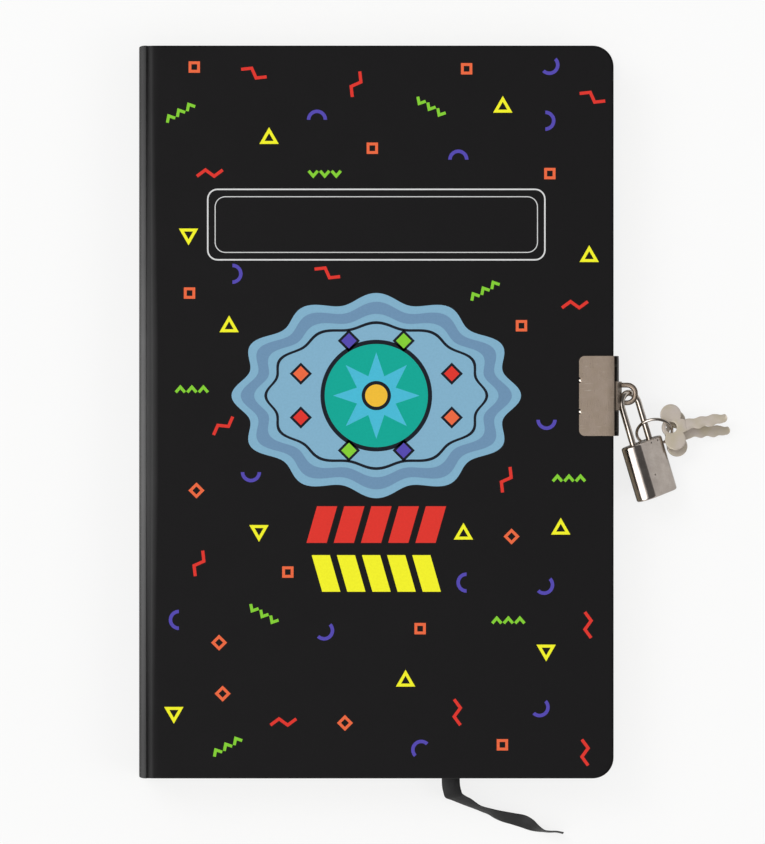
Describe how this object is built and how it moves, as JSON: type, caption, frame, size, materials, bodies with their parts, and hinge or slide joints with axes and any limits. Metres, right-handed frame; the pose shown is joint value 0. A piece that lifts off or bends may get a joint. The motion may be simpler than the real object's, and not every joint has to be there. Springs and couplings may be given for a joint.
{
  "type": "lockable pocket diary",
  "caption": "Closed hardcover diary with two hasps, a small padlock on the front hasp's loop, a ring of keys and a ribbon bookmark.",
  "frame": {"origin": "middle of the back cover's outer face, on which the closed diary lies", "axes": "+X from the spine to the fore-edge, +Y from tail to head, +Z from the back cover to the front cover"},
  "size_m": [0.1701, 0.2269, 0.018],
  "materials": {
    "printed_cover": "black print under a matt film",
    "greyboard": "raw grey board",
    "endpaper": "smooth uncoated paper",
    "page": "smooth uncoated paper",
    "lining_cloth": "open glued gauze",
    "band_cloth": "woven bead",
    "ribbon_satin": "satin",
    "plated_hasp": "nickel plated, lightly brushed",
    "shackle_wire": "bright nickel plate",
    "lock_shell": "nickel plated, tumbled",
    "lock_works": "machined",
    "key_sheet": "nickel plated, worn"
  },
  "bodies": {
    "root": {"back_wrap": "printed_cover", "back_board": "greyboard", "back_pastedown": "endpaper", "back_flyleaf": "endpaper", "section_1": "page", "section_2": "page", "section_3": "page", "section_4": "page", "spine_lining_back": "lining_cloth", "head_band_back": "band_cloth", "tail_band_back": "band_cloth", "ribbon_inner": "ribbon_satin", "ribbon_tail": "ribbon_satin", "back_hasp": "plated_hasp"},
    "spine": {"spine_wrap": "printed_cover", "spine_board": "greyboard"},
    "front_cover": {"front_wrap": "printed_cover", "front_board": "greyboard", "front_pastedown": "endpaper", "front_hasp": "plated_hasp"},
    "front_block": {"front_flyleaf": "endpaper", "section_5": "page", "section_6": "page", "section_7": "page", "section_8": "page", "spine_lining_front": "lining_cloth", "head_band_front": "band_cloth", "tail_band_front": "band_cloth"},
    "leaf_1": {"leaf_1": "page"},
    "leaf_2": {"leaf_2": "page"},
    "leaf_3": {"leaf_3": "page"},
    "leaf_4": {"leaf_4": "page"},
    "shackle": {"shackle": "shackle_wire"},
    "lock_case": {"lock_case": "lock_shell", "lock_base": "lock_shell"},
    "key_plug": {"key_plug": "lock_works"},
    "locking_bolt": {"locking_bolt": "lock_works"},
    "key_ring": {"key_ring": "shackle_wire"},
    "key_1": {"key_1": "key_sheet"},
    "key_2": {"key_2": "key_sheet"}
  },
  "joints": [
    {"name": "spine_hinge", "type": "hinge", "parent": "root", "child": "spine", "pos_m": [-0.0668, 0, 0.0012], "axis": [0, -1, 0], "range_deg": [0, 90]},
    {"name": "cover_hinge", "type": "hinge", "parent": "spine", "child": "front_cover", "pos_m": [-0.0668, 0, 0.0156], "axis": [0, -1, 0], "range_deg": [0, 90]},
    {"name": "block_hinge", "type": "hinge", "parent": "root", "child": "front_block", "pos_m": [-0.0649, 0, 0.0084], "axis": [0, -1, 0], "range_deg": [0, 180]},
    {"name": "leaf_1_hinge", "type": "hinge", "parent": "root", "child": "leaf_1", "pos_m": [-0.0649, 0, 0.0084], "axis": [0, -1, 0], "range_deg": [0, 6.3]},
    {"name": "leaf_2_hinge", "type": "hinge", "parent": "root", "child": "leaf_2", "pos_m": [-0.0649, 0, 0.0084], "axis": [0, -1, 0], "range_deg": [0, 14.4]},
    {"name": "leaf_3_hinge", "type": "hinge", "parent": "root", "child": "leaf_3", "pos_m": [-0.0649, 0, 0.0084], "axis": [0, -1, 0], "range_deg": [0, 167.4]},
    {"name": "leaf_4_hinge", "type": "hinge", "parent": "root", "child": "leaf_4", "pos_m": [-0.0649, 0, 0.0084], "axis": [0, -1, 0], "range_deg": [0, 174.6]},
    {"name": "lock_swing", "type": "hinge", "parent": "front_cover", "child": "shackle", "pos_m": [0.072, 0.00265, 0.009], "axis": [-1, 0, 0], "range_deg": [0, 60]},
    {"name": "shackle_release", "type": "slide", "parent": "shackle", "child": "lock_case", "axis": [0.2867, -0.9555, -0.0698], "range_m": [0, 0.005]},
    {"name": "plug_turn", "type": "hinge", "parent": "lock_case", "child": "key_plug", "pos_m": [0.0785, -0.0163, 0.00735], "axis": [-0.2867, 0.9555, 0.0698], "range_deg": [0, 90]},
    {"name": "bolt_slide", "type": "slide", "parent": "lock_case", "child": "locking_bolt", "axis": [-0.6509, -0.2477, 0.7176], "range_m": [0, 0.0008]},
    {"name": "ring_swing", "type": "hinge", "parent": "shackle", "child": "key_ring", "pos_m": [0.07859, -0.00764, 0.00526], "axis": [-0.2867, 0.9555, 0.0698], "range_deg": [-20, 8]},
    {"name": "key_1_swing", "type": "hinge", "parent": "key_ring", "child": "key_1", "pos_m": [0.08496, -0.00445, 0.00512], "axis": [0.0271, 0.1162, 0.9929], "range_deg": [-6, 25]},
    {"name": "key_2_swing", "type": "hinge", "parent": "key_ring", "child": "key_2", "pos_m": [0.0859, -0.00618, 0.00337], "axis": [0.1668, 0.1137, 0.9794], "range_deg": [-3, 25]}
  ],
  "couplings": [
    {"joint": "cover_hinge", "follows": "spine_hinge", "ratio": 1},
    {"joint": "block_hinge", "follows": "spine_hinge", "ratio": 2},
    {"joint": "leaf_1_hinge", "follows": "spine_hinge", "ratio": 0.07},
    {"joint": "leaf_2_hinge", "follows": "spine_hinge", "ratio": 0.16},
    {"joint": "leaf_3_hinge", "follows": "spine_hinge", "ratio": 1.86},
    {"joint": "leaf_4_hinge", "follows": "spine_hinge", "ratio": 1.94},
    {"joint": "bolt_slide", "follows": "plug_turn", "m_per_rad": 0.0005093}
  ]
}
